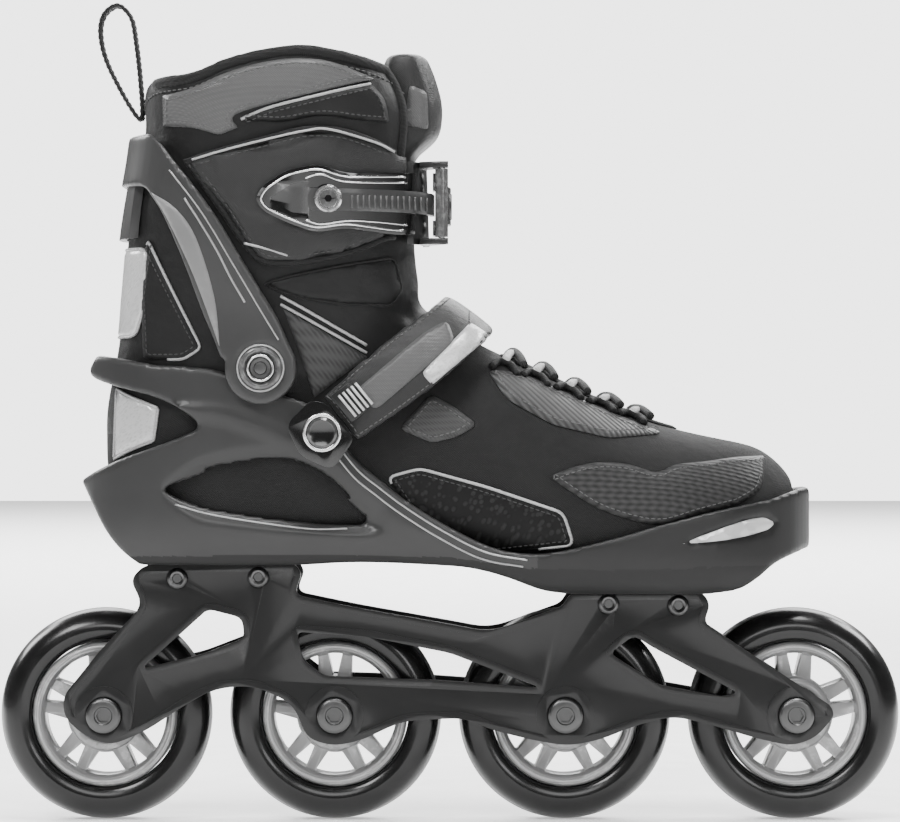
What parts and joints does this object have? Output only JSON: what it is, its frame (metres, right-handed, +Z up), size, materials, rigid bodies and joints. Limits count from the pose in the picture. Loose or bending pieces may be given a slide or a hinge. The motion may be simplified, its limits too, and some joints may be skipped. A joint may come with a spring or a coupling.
{
  "type": "inline skate",
  "caption": "Right-foot inline skate with a padded boot, hinged rigid cuff, ratchet buckle, instep strap and an in-line row of wheels in a plate frame.",
  "frame": {"origin": "on the ground under the middle of the wheelbase, on the wheels' centre plane", "axes": "+X towards the toe, +Y towards the inner side of a right foot, +Z up"},
  "size_m": [0.357, 0.1008, 0.3229],
  "materials": {
    "tyre": "satin polyurethane",
    "hub": "satin, moulded",
    "bearing_steel": "brushed",
    "axle_steel": "satin",
    "frame_plastic": "satin black, moulded",
    "shell_plastic": "satin dark grey, moulded",
    "reflector": "pale grey, satin",
    "boot_textile": "black woven mesh",
    "padding_textile": "dark grey coated textile",
    "cuff_plastic": "satin grey, moulded",
    "gloss_trim": "gloss black",
    "buckle_plastic": "satin black",
    "lace_textile": "braided grey",
    "webbing": "black woven tape"
  },
  "bodies": {
    "chassis": {"axle_1": "axle_steel", "frame_rivet_1": "axle_steel", "axle_2": "axle_steel", "frame_rivet_2": "axle_steel", "axle_3": "axle_steel", "frame_rivet_3": "axle_steel", "axle_4": "axle_steel", "frame_rivet_4": "axle_steel", "frame_bolt_1": "axle_steel", "frame_bolt_2": "axle_steel", "cuff_pivot_outer": "axle_steel", "cuff_pivot_inner": "axle_steel", "frame_plate_outer": "frame_plastic", "frame_plate_inner": "frame_plastic", "rear_mount_block": "frame_plastic", "front_mount_block": "frame_plastic", "lower_shell": "shell_plastic", "toe_insert_outer": "reflector", "toe_insert_inner": "reflector", "instep_ladder": "reflector", "soft_boot": "boot_textile", "insole": "padding_textile", "instep_strap": "padding_textile", "instep_clip": "buckle_plastic", "laces": "lace_textile"},
    "wheel_1": {"tyre_1": "tyre", "hub_1": "hub", "bearing_outer_1": "bearing_steel", "bearing_inner_1": "bearing_steel", "bearing_spacer_1": "bearing_steel"},
    "wheel_2": {"tyre_2": "tyre", "hub_2": "hub", "bearing_outer_2": "bearing_steel", "bearing_inner_2": "bearing_steel", "bearing_spacer_2": "bearing_steel"},
    "wheel_3": {"tyre_3": "tyre", "hub_3": "hub", "bearing_outer_3": "bearing_steel", "bearing_inner_3": "bearing_steel", "bearing_spacer_3": "bearing_steel"},
    "wheel_4": {"tyre_4": "tyre", "hub_4": "hub", "bearing_outer_4": "bearing_steel", "bearing_inner_4": "bearing_steel", "bearing_spacer_4": "bearing_steel"},
    "cuff": {"cuff": "cuff_plastic", "ankle_shaft": "boot_textile", "tongue": "boot_textile", "rear_tab": "cuff_plastic", "cuff_flap_outer": "padding_textile", "cuff_flap_inner": "padding_textile", "buckle_bezel": "gloss_trim", "ladder_strap": "cuff_plastic", "ladder_screw": "axle_steel", "buckle_frame": "buckle_plastic", "lever_pin": "axle_steel", "pull_loop": "webbing"},
    "lever": {"buckle_lever": "buckle_plastic"},
    "release": {"release_tab": "gloss_trim"},
    "button": {"instep_button": "gloss_trim"}
  },
  "joints": [
    {"name": "wheel_1_spin", "type": "hinge", "parent": "chassis", "child": "wheel_1", "pos_m": [-0.1365, 0, 0.042], "axis": [0, 1, 0], "continuous": true},
    {"name": "wheel_2_spin", "type": "hinge", "parent": "chassis", "child": "wheel_2", "pos_m": [-0.0455, 0, 0.042], "axis": [0, 1, 0], "continuous": true},
    {"name": "wheel_3_spin", "type": "hinge", "parent": "chassis", "child": "wheel_3", "pos_m": [0.0455, 0, 0.042], "axis": [0, 1, 0], "continuous": true},
    {"name": "wheel_4_spin", "type": "hinge", "parent": "chassis", "child": "wheel_4", "pos_m": [0.1365, 0, 0.042], "axis": [0, 1, 0], "continuous": true},
    {"name": "cuff_lean", "type": "hinge", "parent": "chassis", "child": "cuff", "pos_m": [-0.0735, 0, 0.1786], "axis": [0, 1, 0], "range_deg": [-4, 11], "stiffness_Nm_per_rad": 8},
    {"name": "buckle_lever_lift", "type": "hinge", "parent": "cuff", "child": "lever", "pos_m": [-0.0033, -0.026, 0.2436], "axis": [0, 0, -1], "range_deg": [0, 80], "stiffness_Nm_per_rad": 0.02},
    {"name": "release_tab_lift", "type": "hinge", "parent": "lever", "child": "release", "pos_m": [-0.0019, -0.013, 0.2431], "axis": [0, 0, -1], "range_deg": [0, 15], "stiffness_Nm_per_rad": 0.02},
    {"name": "instep_button_press", "type": "slide", "parent": "chassis", "child": "button", "axis": [0, 1, 0], "range_m": [0, 0.0015], "stiffness_N_per_m": 400}
  ]
}
